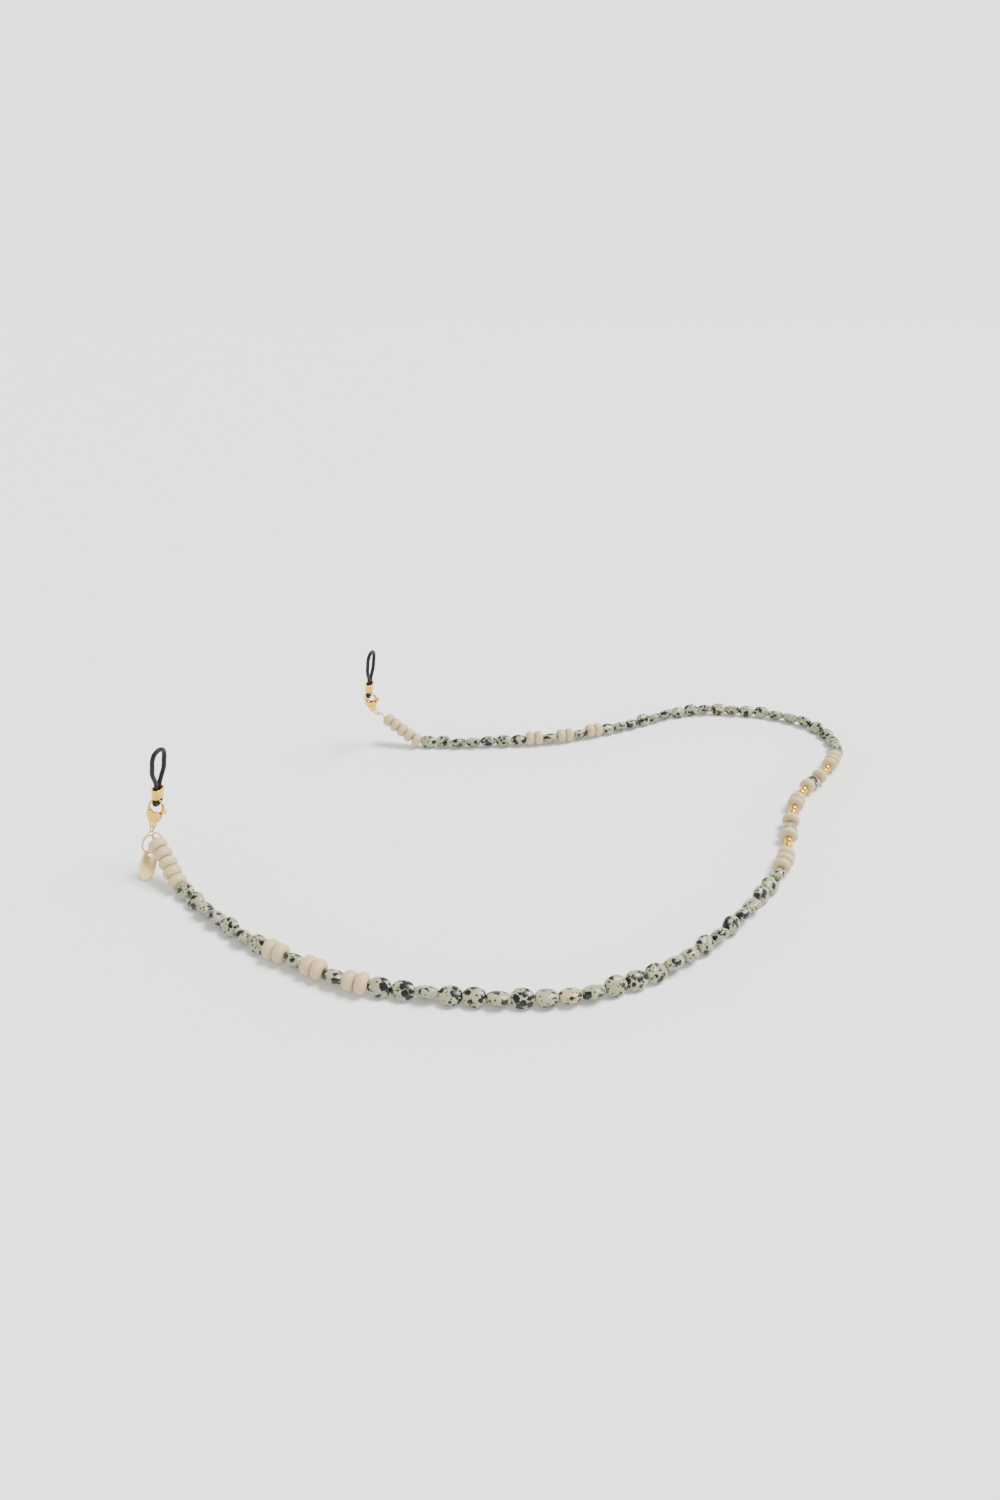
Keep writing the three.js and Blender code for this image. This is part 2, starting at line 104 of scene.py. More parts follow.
def stranded(name, colour, roughness):
    """Twisted steel strands: fine slanting bands in the relief, with painted shade that darkens the
    grooves between the strands.
    """
    made, nodes, links, surface = material(name, colour, roughness, 0.85)
    place = nodes.new("ShaderNodeTexCoord")
    twist = nodes.new("ShaderNodeTexWave")
    twist.bands_direction = "DIAGONAL"
    twist.inputs["Scale"].default_value = 1900.0
    twist.inputs["Distortion"].default_value = 1.5
    links.new(place.outputs["Object"], twist.inputs["Vector"])
    # painted shade: where the twist's relief sinks into a groove, the colour is darkened to 0.6 of itself
    painted_groove_shade = nodes.new("ShaderNodeMix")
    painted_groove_shade.data_type = "RGBA"
    painted_groove_shade.inputs["A"].default_value = (*(0.6 * c for c in colour), 1.0)
    painted_groove_shade.inputs["B"].default_value = (*colour, 1.0)
    links.new(twist.outputs["Fac"], painted_groove_shade.inputs["Factor"])
    links.new(painted_groove_shade.outputs["Result"], surface.inputs["Base Color"])
    relief = nodes.new("ShaderNodeBump")
    relief.inputs["Strength"].default_value = 0.3
    relief.inputs["Distance"].default_value = 0.00003
    links.new(twist.outputs["Fac"], relief.inputs["Height"])
    links.new(relief.outputs["Normal"], surface.inputs["Normal"])
    return made


floor_z = -0.052
wire_thickness = 0.00045
route = [
    (-0.0068, -0.0063, -0.0361), (-0.0040, -0.0080, -0.0377), (0.0029, -0.0118, -0.0424),
    (0.0094, -0.0160, -0.0470), (0.0153, -0.0193, -0.0488), (0.0357, -0.0287, -0.0490),
    (0.0560, -0.0364, -0.0488), (0.0780, -0.0411, -0.0484), (0.1014, -0.0444, -0.0485),
    (0.1227, -0.0415, -0.0490), (0.1428, -0.0377, -0.0490), (0.1628, -0.0319, -0.0490),
    (0.1808, -0.0229, -0.0490), (0.1961, -0.0106, -0.0490), (0.2085, 0.0040, -0.0490),
    (0.2188, 0.0192, -0.0490), (0.2276, 0.0370, -0.0490), (0.2353, 0.0550, -0.0487),
    (0.2401, 0.0712, -0.0484), (0.2419, 0.0920, -0.0484), (0.2436, 0.1115, -0.0484),
    (0.2486, 0.1325, -0.0484), (0.2571, 0.1502, -0.0484), (0.2630, 0.1675, -0.0485),
    (0.2660, 0.1845, -0.0490), (0.2613, 0.2000, -0.0490), (0.2495, 0.2116, -0.0490),
    (0.2347, 0.2160, -0.0490), (0.2157, 0.2149, -0.0490), (0.1963, 0.2106, -0.0490),
    (0.1795, 0.2010, -0.0490), (0.1624, 0.1838, -0.0490), (0.1444, 0.1670, -0.0487),
    (0.1218, 0.1502, -0.0484), (0.0742, 0.1300, -0.0490),
    (0.0589, 0.1256, -0.0488), (0.0524, 0.1242, -0.0471), (0.0446, 0.1247, -0.0430),
    (0.0365, 0.1255, -0.0384), (0.0334, 0.1257, -0.0363),
]
line = smooth_line([Vector(p) for p in route])
wire_look = stranded("coated wire", (0.42, 0.39, 0.33), 0.35)
wire = add_curve("strap_wire", line, wire_thickness, wire_look)
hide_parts("beading_wire")
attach(wire, "strand")
reach = [0.0]
for a, b in zip(line, line[1:]):
    reach.append(reach[-1] + (b - a).length)


def station(distance):
    """A place along the wire: its point, the wire's direction, and up and outwards from it."""
    i = min(max(sum(r < distance for r in reach), 1), len(line) - 1)
    share = (distance - reach[i - 1]) / (reach[i] - reach[i - 1])
    place = line[i - 1].lerp(line[i], share)
    along = (line[min(i + 1, len(line) - 1)] - line[max(i - 2, 0)]).normalized()
    up = (Vector((0, 0, 1)) - along * along.z).normalized()
    return place, along, up, along.cross(up)


# ---- Beads --------------------------------------------------------------------------------------
# Three kinds, each drilled through and threaded on the wire, touching its neighbours: polished
# spotted stones, flat and oval, each lying at its own angle; matt cream rondelles; small gold beads.
string = [
    ("near_end_cream_beads", "cream", 5, ["cream_beads_01"]),
    ("near_end_stones", "stone", 7, ["stone_beads_02", "stone_beads_03"]),
    ("near_pair_cream_beads", "cream", 2, ["cream_beads_04"]),
    ("near_single_stones", "stone", 1, ["stone_beads_05"]),
    ("near_pair_cream_beads", "cream", 2, ["cream_beads_06"]),
    ("near_single_stones", "stone", 1, ["stone_beads_07"]),
    ("near_pair_cream_beads", "cream", 2, ["cream_beads_08"]),
    ("near_long_run_of_stones", "stone", 23, [f"stone_beads_{n:02d}" for n in range(9, 14)]),
    ("centre_cream_beads", "cream", 3, ["cream_beads_14"]),
    ("gold_beads", "gold", 3, ["gold_beads_15"]),
    ("centre_cream_beads", "cream", 1, ["cream_beads_16"]),
    ("centre_stones", "stone", 1, ["stone_beads_17"]),
    ("centre_cream_beads", "cream", 1, ["cream_beads_18"]),
    ("gold_beads", "gold", 3, ["gold_beads_19"]),
    ("centre_cream_beads", "cream", 2, ["cream_beads_20"]),
    ("gold_beads", "gold", 3, ["gold_beads_21"]),
    ("centre_cream_beads", "cream", 1, ["cream_beads_22"]),
    ("centre_stones", "stone", 1, ["stone_beads_23"]),
    ("centre_cream_beads", "cream", 1, ["cream_beads_24"]),
    ("gold_beads", "gold", 3, ["gold_beads_25"]),
    ("centre_cream_beads", "cream", 3, ["cream_beads_26"]),
    ("far_long_run_of_stones", "stone", 21, [f"stone_beads_{n:02d}" for n in range(27, 32)]),
    ("far_pair_cream_beads", "cream", 2, ["cream_beads_32"]),
    ("far_single_stones", "stone", 1, ["stone_beads_33"]),
    ("far_pair_cream_beads", "cream", 2, ["cream_beads_34"]),
    ("far_single_stones", "stone", 1, ["stone_beads_35"]),
    ("far_pair_cream_beads", "cream", 2, ["cream_beads_36"]),
    ("far_end_stones", "stone", 7, ["stone_beads_37", "stone_beads_38"]),
    ("far_end_cream_beads", "cream", 5, ["cream_beads_39"]),
]
rolls = [35, 30, -48, -40, 50, -48, 52, -50, -25, 50, 30, -48, 15, 25, -20, 35, 10, -15, -30, 55]
# In metres: a bead's length on the wire, its two diameters, the radii of its end face and its bore,
# and how far it may shift to lie on the surface. The last line gives the curve of its side.
pitch = {"stone": 0.008, "cream": 0.0045, "gold": 0.00355}
width = {"stone": 0.0072, "cream": 0.0076, "gold": 0.0036}
thick = {"stone": 0.0047, "cream": 0.0076, "gold": 0.0036}
face = {"stone": 0.00105, "cream": 0.0017, "gold": 0.0009}
bore = {"stone": 0.0005, "cream": 0.0007, "gold": 0.0005}
play = {"stone": 0.00035, "cream": 0.0005, "gold": 0.0}
rounding = {"stone": (2.0, 0.52), "cream": (2.3, 0.5), "gold": (2.0, 0.5)}


def bead_rings(kind, rnd, sides=24, rows=14):
    """One bead along local Z: rings of points from one end of its bore, over the outside, to the other."""
    # the gap between beads, and as shares: the bore's mouth, the end face's rim and its slight dome
    hairline = 0.00003
    sunk, lip, crown = 0.93, 0.9, 0.012
    half = pitch[kind] / 2 - hairline
    wide = width[kind] / 2 * rnd.uniform(0.93, 1.0)
    flat = thick[kind] / width[kind]
    power, root = rounding[kind]
    shares = [-math.cos(math.pi * i / rows) for i in range(rows + 1)]
    profile = [(bore[kind], -half * sunk), (face[kind] * lip, -half)]
    for share in shares:
        radius = face[kind] + (wide - face[kind]) * max(0.0, 1 - abs(share) ** power) ** root
        profile.append((radius, share * half * (1 - crown * abs(share))))
    profile += [(face[kind] * lip, half), (bore[kind], half * sunk)]
    rings = []
    for radius, z in profile:
        squeeze = flat + (1 - flat) * min(1.0, abs(z / half)) ** 8
        rings.append([
            Vector((radius * math.cos(a), radius * squeeze * math.sin(a), z))
            for a in (2 * math.pi * k / sides for k in range(sides))
        ])
    return rings


def loft(mesh, rings, matrix, closed=False, capped=False, slot=0):
    """Adds the skin of rings of points; closed joins the last ring to the first, capped fills both."""
    made = [[mesh.verts.new(matrix @ p) for p in ring] for ring in rings]
    pairs = list(zip(made, made[1:])) + ([(made[-1], made[0])] if closed else [])
    for low, high in pairs:
        for k in range(len(low)):
            skin = mesh.faces.new((low[k - 1], low[k], high[k], high[k - 1]))
            skin.smooth = True
            skin.material_index = slot
    if capped:
        mesh.faces.new(made[0][::-1]).material_index = slot
        mesh.faces.new(made[-1]).material_index = slot


def add_mesh(name, mesh, looks, nodes, body):
    """A new piece from a bmesh, with its materials, that stands for CAD nodes and rides on a body."""
    bmesh.ops.recalc_face_normals(mesh, faces=mesh.faces)
    data = bpy.data.meshes.new(name)
    mesh.to_mesh(data)
    mesh.free()
    for look in looks:
        data.materials.append(look)
    piece = bpy.data.objects.new(name, data)
    bpy.context.scene.collection.objects.link(piece)
    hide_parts(*nodes)
    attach(piece, body)
    return piece


def spotted(name, pale, warm, dark, seed):
    """Polished dalmatian stone: a clouded pale ground with round dark spots of two sizes."""
    made, nodes, links, surface = material(name, pale, 0.3)
    surface.inputs["Specular IOR Level"].default_value = 0.4
    place = nodes.new("ShaderNodeTexCoord")
    shift = nodes.new("ShaderNodeMapping")
    shift.inputs["Location"].default_value = (seed, 2 * seed, 3 * seed)
    links.new(place.outputs["Object"], shift.inputs["Vector"])
    wobble = nodes.new("ShaderNodeTexNoise")
    wobble.inputs["Scale"].default_value = 900.0
    links.new(shift.outputs["Vector"], wobble.inputs["Vector"])
    bent = nodes.new("ShaderNodeVectorMath")
    bent.operation = "MULTIPLY_ADD"
    bent.inputs[1].default_value = (0.0012, 0.0012, 0.0012)
    links.new(wobble.outputs["Color"], bent.inputs[0])
    links.new(shift.outputs["Vector"], bent.inputs[2])
    masks = []
    for scale, least, most in ((470.0, 0.05, 0.78), (1150.0, -0.10, 0.46)):
        cells = nodes.new("ShaderNodeTexVoronoi")
        cells.inputs["Scale"].default_value = scale
        links.new(bent.outputs["Vector"], cells.inputs["Vector"])
        size = nodes.new("ShaderNodeMapRange")
        size.inputs["From Min"].default_value = 0.2
        size.inputs["From Max"].default_value = 0.8
        size.inputs["To Min"].default_value = least
        size.inputs["To Max"].default_value = most
        links.new(cells.outputs["Color"], size.inputs["Value"])
        inside = nodes.new("ShaderNodeMath")
        inside.operation = "SUBTRACT"
        links.new(size.outputs["Result"], inside.inputs[0])
        links.new(cells.outputs["Distance"], inside.inputs[1])
        edge = nodes.new("ShaderNodeMapRange")
        edge.interpolation_type = "SMOOTHSTEP"
        edge.inputs["From Max"].default_value = 0.07
        links.new(inside.outputs["Value"], edge.inputs["Value"])
        masks.append(edge)
    both = nodes.new("ShaderNodeMath")
    both.operation = "MAXIMUM"
    for i, edge in enumerate(masks):
        links.new(edge.outputs["Result"], both.inputs[i])
    cloud = nodes.new("ShaderNodeTexNoise")
    cloud.inputs["Scale"].default_value = 190.0
    cloud.inputs["Detail"].default_value = 4.0
    links.new(shift.outputs["Vector"], cloud.inputs["Vector"])
    ground = nodes.new("ShaderNodeMix")
    ground.data_type = "RGBA"
    ground.inputs["A"].default_value = (*pale, 1.0)
    ground.inputs["B"].default_value = (*warm, 1.0)
    links.new(cloud.outputs["Fac"], ground.inputs["Factor"])
    paint = nodes.new("ShaderNodeMix")
    paint.data_type = "RGBA"
    paint.inputs["B"].default_value = (*dark, 1.0)
    links.new(both.outputs["Value"], paint.inputs["Factor"])
    links.new(ground.outputs["Result"], paint.inputs["A"])
    links.new(paint.outputs["Result"], surface.inputs["Base Color"])
    return made


def mottled(name, one, other, roughness, scale):
    """A matt mineral look: two close tones in soft clouds, with a very fine tooth."""
    made, nodes, links, surface = material(name, one, roughness)
    place = nodes.new("ShaderNodeTexCoord")
    cloud = nodes.new("ShaderNodeTexNoise")
    cloud.inputs["Scale"].default_value = scale
    cloud.inputs["Detail"].default_value = 5.0
    links.new(place.outputs["Object"], cloud.inputs["Vector"])
    mix = nodes.new("ShaderNodeMix")
    mix.data_type = "RGBA"
    mix.inputs["A"].default_value = (*one, 1.0)
    mix.inputs["B"].default_value = (*other, 1.0)
    links.new(cloud.outputs["Fac"], mix.inputs["Factor"])
    links.new(mix.outputs["Result"], surface.inputs["Base Color"])
    tooth = nodes.new("ShaderNodeTexNoise")
    tooth.inputs["Scale"].default_value = scale * 18
    links.new(place.outputs["Object"], tooth.inputs["Vector"])
    bump = nodes.new("ShaderNodeBump")
    bump.inputs["Strength"].default_value = 0.12
    bump.inputs["Distance"].default_value = 0.00005
    links.new(tooth.outputs["Fac"], bump.inputs["Height"])
    links.new(bump.outputs["Normal"], surface.inputs["Normal"])
    return made


def polished(name, colour, roughness):
    """Plated metal, with a slight unevenness in its polish."""
    made, nodes, links, surface = material(name, colour, roughness, 1.0)
    place = nodes.new("ShaderNodeTexCoord")
    wear = nodes.new("ShaderNodeTexNoise")
    wear.inputs["Scale"].default_value = 900.0
    links.new(place.outputs["Object"], wear.inputs["Vector"])
    span = nodes.new("ShaderNodeMapRange")
    span.inputs["To Min"].default_value = roughness * 0.75
    span.inputs["To Max"].default_value = roughness * 1.3
    links.new(wear.outputs["Fac"], span.inputs["Value"])
    links.new(span.outputs["Result"], surface.inputs["Roughness"])
    return made


stone_look = spotted(
    "dalmatian stone", (0.215, 0.225, 0.13), (0.34, 0.335, 0.20), (0.004, 0.004, 0.005), 0.31,
)
tan_look = spotted(
    "tan dalmatian stone", (0.35, 0.29, 0.15), (0.42, 0.36, 0.21), (0.008, 0.006, 0.004), 0.77,
)
cream_look = mottled("cream bead", (0.55, 0.42, 0.225), (0.45, 0.335, 0.175), 0.55, 260.0)
gold_look = polished("polished gold", (0.72, 0.42, 0.06), 0.2)
looks = {"stone": [stone_look, tan_look], "cream": [cream_look], "gold": [gold_look]}
tan_stones = {17, 45}

margin = (reach[-1] - sum(count * pitch[kind] for _, kind, count, _ in string)) / 2
rnd = random.Random(12)
sets = {}
distance = margin
stone_count = 0
for name, kind, count, nodes in string:
    mesh, _, standing = sets.setdefault(name, (bmesh.new(), kind, []))
    standing += nodes
    for _ in range(count):
        place, along, up, out = station(distance + pitch[kind] / 2)
        roll = -math.radians(rolls[stone_count % len(rolls)]) if kind == "stone" else 0.0
        half_height = math.hypot(width[kind] / 2 * math.sin(roll), thick[kind] / 2 * math.cos(roll))
        height = place.z - floor_z
        lies_down = height < width[kind] / 2 + 0.001
        rise = max(-play[kind], min(play[kind], half_height - height)) if lies_down else 0.0
        side = out * math.cos(roll) + up * math.sin(roll)
        tall = up * math.cos(roll) - out * math.sin(roll)
        matrix = Matrix((side, tall, side.cross(tall))).transposed().to_4x4()
        matrix.translation = place + up * rise
        lean = Matrix.Rotation(math.radians(rnd.uniform(-2.5, 2.5)), 4, "X")
        slot = int(kind == "stone" and stone_count in tan_stones)
        loft(mesh, bead_rings(kind, rnd), matrix @ lean, closed=True, slot=slot)
        distance += pitch[kind]
        stone_count += kind == "stone"
beads = [
    add_mesh(name, mesh, looks[kind], nodes, "strand")
    for name, (mesh, kind, nodes) in sets.items()
]


# ---- Clasps -------------------------------------------------------------------------------------
# Small lobster clasps in gold-plated brass: a cast body whose hook opens with a sprung trigger on a
# cross pin, and a tail eye at the bottom. Each hangs from the rubber eye at its end of the strap.
ends = {
    "near": dict(apex=(0, 0, 0), tilt=14.5, lean=0, down=(-0.12, -0.41, -0.905), turn=20, swing=0),
    "far": dict(apex=(0.0337, 0.1192, 0), tilt=10.5, lean=6, down=(0.05, 0.2, -0.98), turn=16, swing=40),
}
mm = 0.001
# in millimetres: the hook's radius, the pin's place and the two eyes' heights
hook_radius = 2.85
pin_at = (1.0, -6.9)
tail_eye_z = -10.25
rubber_eye_z = -23.8
for end in ends.values():
    lean = Matrix.Rotation(math.radians(end["lean"]), 4, "X")
    tilt = Matrix.Rotation(math.radians(end["tilt"]), 4, "Y")
    end["loop"] = Matrix.Translation(end["apex"]) @ (lean @ tilt)
    up = -Vector(end["down"]).normalized()
    turn = math.radians(end["turn"])
    across = Vector((math.cos(turn), math.sin(turn), 0))
    across = (across - up * across.dot(up)).normalized()
    end["up"], end["across"], end["axis"] = up, across, up.cross(across)
    end["clasp"] = Matrix((across, end["axis"], up)).transposed().to_4x4()
    end["clasp"].translation = end["loop"] @ Vector((0, 0, rubber_eye_z * mm))


def tube_rings(places, radii, squash=1.0, sides=16, normal=Vector((0, 1, 0))):
    """Rings round a line of places, of the given radii; squash widens them along the normal."""
    rings = []
    for i, place in enumerate(places):
        along = (places[min(i + 1, len(places) - 1)] - places[max(i - 1, 0)]).normalized()
        side = along.cross(normal).normalized()
        top = side.cross(along)
        rings.append([
            place + side * radii[i] * math.cos(a) + top * radii[i] * squash * math.sin(a)
            for a in (2 * math.pi * k / sides for k in range(sides))
        ])
    return rings


def slab(mesh, outline, low, high, bevel):
    """A flat plate in the clasp's plane, from y = low to high, with rounded edges, in millimetres."""
    corners = [[mesh.verts.new(Vector((x, y, z)) * mm) for x, z in outline] for y in (low, high)]
    faces = [mesh.faces.new(corners[0][::-1]), mesh.faces.new(corners[1])]
    for k in range(len(outline)):
        faces.append(mesh.faces.new((corners[0][k - 1], corners[0][k], corners[1][k], corners[1][k - 1])))
    rims = [edge for skin in faces[:2] for edge in skin.edges]
    bmesh.ops.bevel(mesh, geom=rims, offset=bevel * mm, segments=3, affect="EDGES", profile=0.6)


def arc(centre, radius, start, end, steps):
    """Points on an arc in the clasp's plane, in millimetres and degrees."""
    angles = [math.radians(start + (end - start) * i / steps) for i in range(steps + 1)]
    return [(centre[0] + radius * math.cos(a), centre[1] + radius * math.sin(a)) for a in angles]


def bend(start, pull, end, steps=6):
    """Points on a quadratic bend from start, towards pull, to end."""
    shares = [i / steps for i in range(1, steps + 1)]
    return [
        tuple(a * (1 - t) ** 2 + b * 2 * t * (1 - t) + c * t * t for a, b, c in zip(start, pull, end))
        for t in shares
    ]


def ring_rings(radius, wire, gap=0.0, steps=48, sides=12):
    """Rings round a jump ring in the local XY plane; gap is the cut where it was closed, in degrees."""
    angles = [math.radians(90 + gap / 2 + (360 - gap) * i / steps) for i in range(steps + 1)]
    places = [Vector((math.cos(a), math.sin(a), 0)) * radius for a in angles]
    rings = []
    for a, place in zip(angles, places):
        outward = Vector((math.cos(a), math.sin(a), 0))
        rings.append([
            place + outward * wire * math.cos(b) + Vector((0, 0, wire * math.sin(b)))
            for b in (2 * math.pi * k / sides for k in range(sides))
        ])
    return rings


def smoothed(mesh):
    """Smooth shading, but with flat plates and crisp edges."""
    mesh.normal_update()
    for skin in mesh.faces:
        skin.smooth = len(skin.verts) <= 4
    for edge in mesh.edges:
        edge.smooth = edge.calc_face_angle(0) < math.radians(32)


for side, end in ends.items():
    centre = (0, -hook_radius)
    body = bmesh.new()
    steps = 40
    bow = []
    radii = []
    for i in range(steps + 1):
        a = math.radians(50 + 212 * i / steps)
        bow.append(Vector((hook_radius * math.cos(a), 0, -hook_radius + hook_radius * math.sin(a))) * mm)
        nose = min(1.0, (i + 0.2) / 3)
        radii.append(mm * (0.46 + 0.14 * i / steps) * math.sqrt(max(0.02, nose * (2 - nose))))
    loft(body, tube_rings(bow, radii, squash=1.12), Matrix.Identity(4), capped=True)
    left, right = (-3.1, -4.4), (2.8, -5.4)
    outline = [
        *arc(centre, 2.4, -42, -152, 14), left,
        *bend(left, (-2.9, -7.4), (-0.95, -9.6)), (0.95, -9.6),
        *bend((0.95, -9.6), (2.7, -8.2), right),
    ]
    end_wall = [
        (-1.5, -8.5), *bend((-1.5, -8.5), (-1.3, -9.2), (-0.95, -9.6), 3),
        (0.95, -9.6), (1.8, -8.9), (2.2, -8.5),
    ]
    back_wall = [
        (-3.0, -4.5), *bend((-3.0, -4.5), (-2.85, -7.0), (-1.5, -8.9), 5),
        (-1.5, -3.95), (-2.2, -3.7),
    ]
    inner, outer = 0.6, 1.2
    for low, high in ((-outer, -inner), (inner, outer)):
        slab(body, outline, low, high, 0.22)
    for wall in (end_wall, back_wall):
        slab(body, wall, -0.62, 0.62, 0.03)
    eye = ring_rings(1.2 * mm, 0.3 * mm)[:-1]
    turned = (
        Matrix.Translation((0, 0, tail_eye_z * mm))
        @ Matrix.Rotation(math.pi / 2, 4, "X")
        @ Matrix.Diagonal((1, 1, 1.6, 1))
    )
    loft(body, eye, turned, closed=True)
    smoothed(body)
    bmesh.ops.transform(body, matrix=end["clasp"], verts=body.verts)
    add_mesh(
        f"{side}_clasp_casting", body, [gold_look], [f"{side}_clasp_body"],
        f"{side}_clasp",
    )

    lever = bmesh.new()
    outline = [
        *arc(pin_at, 5.8, 84, 70, 5), *arc(centre, 3.38, 23, -6, 6),
        (4.35, -4.0), (4.45, -4.4), (4.2, -4.85), (3.0, -5.1), (2.1, -6.9),
        *arc(pin_at, 1.1, -10, -200, 10), (1.1, -5.3), *arc(centre, 2.4, -40, 46, 10),
    ]
    thumb_tab = [(3.0, -3.7), (3.9, -3.75), (4.45, -4.1), (4.45, -4.45), (4.1, -4.85), (3.1, -5.0)]
    slab(lever, outline, -0.35, 0.35, 0.13)
    slab(lever, thumb_tab, -0.85, 0.85, 0.2)
    smoothed(lever)
    bmesh.ops.transform(lever, matrix=end["clasp"], verts=lever.verts)
    add_mesh(
        f"{side}_trigger_blade", lever, [gold_look], [f"{side}_trigger"],
        f"{side}_trigger_lever",
    )

    pin = bmesh.new()
    heights = [-1.42, -1.40, -1.3, 1.3, 1.40, 1.42]
    sizes = [0.15, 0.28, 0.35, 0.35, 0.28, 0.15]
    places = [Vector((pin_at[0], h, pin_at[1])) * mm for h in heights]
    rod = tube_rings(places, [r * mm for r in sizes], normal=Vector((0, 0, 1)))
    loft(pin, rod, end["clasp"], capped=True)
    add_mesh(
        f"{side}_hinge_pin", pin, [gold_look], [f"{side}_trigger_pin"], f"{side}_clasp",
    )

    steps = 48
    coil_radius, coil_length = 0.3, 0.6
    coil = []
    for i in range(steps + 1):
        a = i / 16 * 2 * math.pi
        x, z = -0.75 + coil_radius * math.cos(a), -6.6 + coil_radius * math.sin(a)
        coil.append(end["clasp"] @ (Vector((x, (i / steps - 0.5) * coil_length, z)) * mm))
    spring = add_curve(f"{side}_coil_spring", coil, 0.18 * mm, wire_look)
    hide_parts(f"{side}_trigger_spring")
    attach(spring, f"{side}_clasp")


# ---- End rings ----------------------------------------------------------------------------------
# A closed gold jump ring in each clasp's tail eye. The wire is looped round its other side, and the
# ring hangs between the two.
end_ring_radius = 1.8
for side, end in ends.items():
    swing = math.radians(end["swing"])
    hang = -end["up"] * math.cos(swing) + end["across"] * math.sin(swing)
    tail = end["clasp"] @ Vector((0, 0, tail_eye_z * mm)) + hang * 0.2 * mm
    basis = Matrix((hang, end["axis"], hang.cross(end["axis"]))).transposed().to_4x4()
    basis.translation = tail + hang * end_ring_radius * mm
    end["ring_point"] = tail + hang * (2 * end_ring_radius) * mm
    ring = bmesh.new()
    loft(ring, ring_rings(end_ring_radius * mm, 0.3 * mm, gap=2.5), basis, capped=True)
    add_mesh(f"{side}_jump_ring", ring, [gold_look], [f"{side}_end_ring"], f"{side}_ring")


# ---- Crimps and wire loops ----------------------------------------------------------------------
# The wire turns round the end ring and back into a gold crimp tube, squeezed shut on both strands.
crimp_length = 0.0013
beside_beads = 0.00145
crimp_at = {"near": margin - beside_beads, "far": reach[-1] - margin + beside_beads}
for side, end in ends.items():
    sign = 1 if side == "near" else -1
    shares = (0, 0, 0.08, 0.3, 0.5, 0.7, 0.92, 1, 1)
    places = [station(crimp_at[side] + sign * share * crimp_length)[0] for share in shares]
    # a hair between places that fall together
    for i in range(1, len(places)):
        places[i] = places[i] + (places[-1] - places[0]) * 1e-4 * i
    crimp = bmesh.new()
    sizes = [0.3, 0.72, 0.86, 0.88, 0.84, 0.88, 0.86, 0.72, 0.3]
    loft(crimp, tube_rings(places, [r * mm for r in sizes], sides=20), Matrix.Identity(4), capped=True)
    add_mesh(
        f"{side}_crimp_tube", crimp, [gold_look], [f"{side}_crimp"], "strand",
    )
    tip = line[0] if side == "near" else line[-1]
    down = tip - end["ring_point"]
    long = down.length / mm
    down.normalize()
    aside = end["axis"].cross(down).normalized()
    half = [(long + 0.9, 0.2), (long + 0.2, 0.26), (long * 0.55, 0.68), (0, 0.98), (-0.693, 0.693)]
    spread = [*half, (-0.98, 0), *((d, -w) for d, w in reversed(half))]
    turn = smooth_line([end["ring_point"] + (down * d + aside * w) * mm for d, w in spread], 8)
    loop = add_curve(f"{side}_wire_loop", turn, wire_thickness, wire_look)
    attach(loop, "strand")


# ---- Rubber temple loops ------------------------------------------------------------------------
# One length of soft black rubber cord each, folded into a big loop for the temple and a small eye
# for the clasp. Its two ends meet inside the metal sleeve.
def rubbery(name, colour, roughness):
    """Matt black rubber with a fine grain and a faint sheen."""
    made, nodes, links, surface = material(name, colour, roughness)
    surface.inputs["Specular IOR Level"].default_value = 0.22
    place = nodes.new("ShaderNodeTexCoord")
    grain = nodes.new("ShaderNodeTexNoise")
    grain.inputs["Scale"].default_value = 5200.0
    links.new(place.outputs["Object"], grain.inputs["Vector"])
    bump = nodes.new("ShaderNodeBump")
    bump.inputs["Strength"].default_value = 0.2
    bump.inputs["Distance"].default_value = 0.00004
    links.new(grain.outputs["Fac"], bump.inputs["Height"])
    links.new(bump.outputs["Normal"], surface.inputs["Normal"])
    return made


rubber_look = rubbery("black rubber", (0.005, 0.005, 0.005), 0.5)
rubber_radius = 0.9
right = [
    (2.475, -0.07), (3.5, -2.4), (3.5, -5.5), (3.4, -9.0), (2.1, -12.4), (1.15, -14.8), (1.0, -16.2),
    (1.0, -19.2), (1.0, -22.1), (1.5, -22.9), (1.9, -24.0), (1.35, -25.25),
]
left = [(-y, z) for y, z in reversed(right)]
outline = [(-1.0, -18.9), *left[5:], (0, 0.9), *right, (0, -25.75), *left[:4], (-1.0, -19.2)]
rubber_line = smooth_line([Vector((0, y, z)) * mm for y, z in outline], 10)
for side, end in ends.items():
    cord = bmesh.new()
    radii = [rubber_radius * mm] * len(rubber_line)
    rings = tube_rings(rubber_line, radii, sides=20, normal=Vector((1, 0, 0)))
    loft(cord, rings, end["loop"], capped=True)
    add_mesh(
        f"{side}_folded_rubber", cord, [rubber_look], [f"{side}_rubber_loop"],
        f"{side}_loop",
    )


# ---- Sleeves ------------------------------------------------------------------------------------
# A short flattened gold tube round both legs of the rubber, over the place where its ends meet. It
# slides up to tighten the loop.
def stadium(half, radius, z, steps=14):
    """A ring of points round two half circles joined by straight sides, in millimetres."""
    points = []
    for centre, start in ((half - radius, 0), (radius - half, 180)):
        for i in range(steps + 1):
            a = math.radians(start + 180 * i / steps)
            points.append(Vector((radius * math.cos(a), centre + radius * math.sin(a), z)) * mm)
    return points


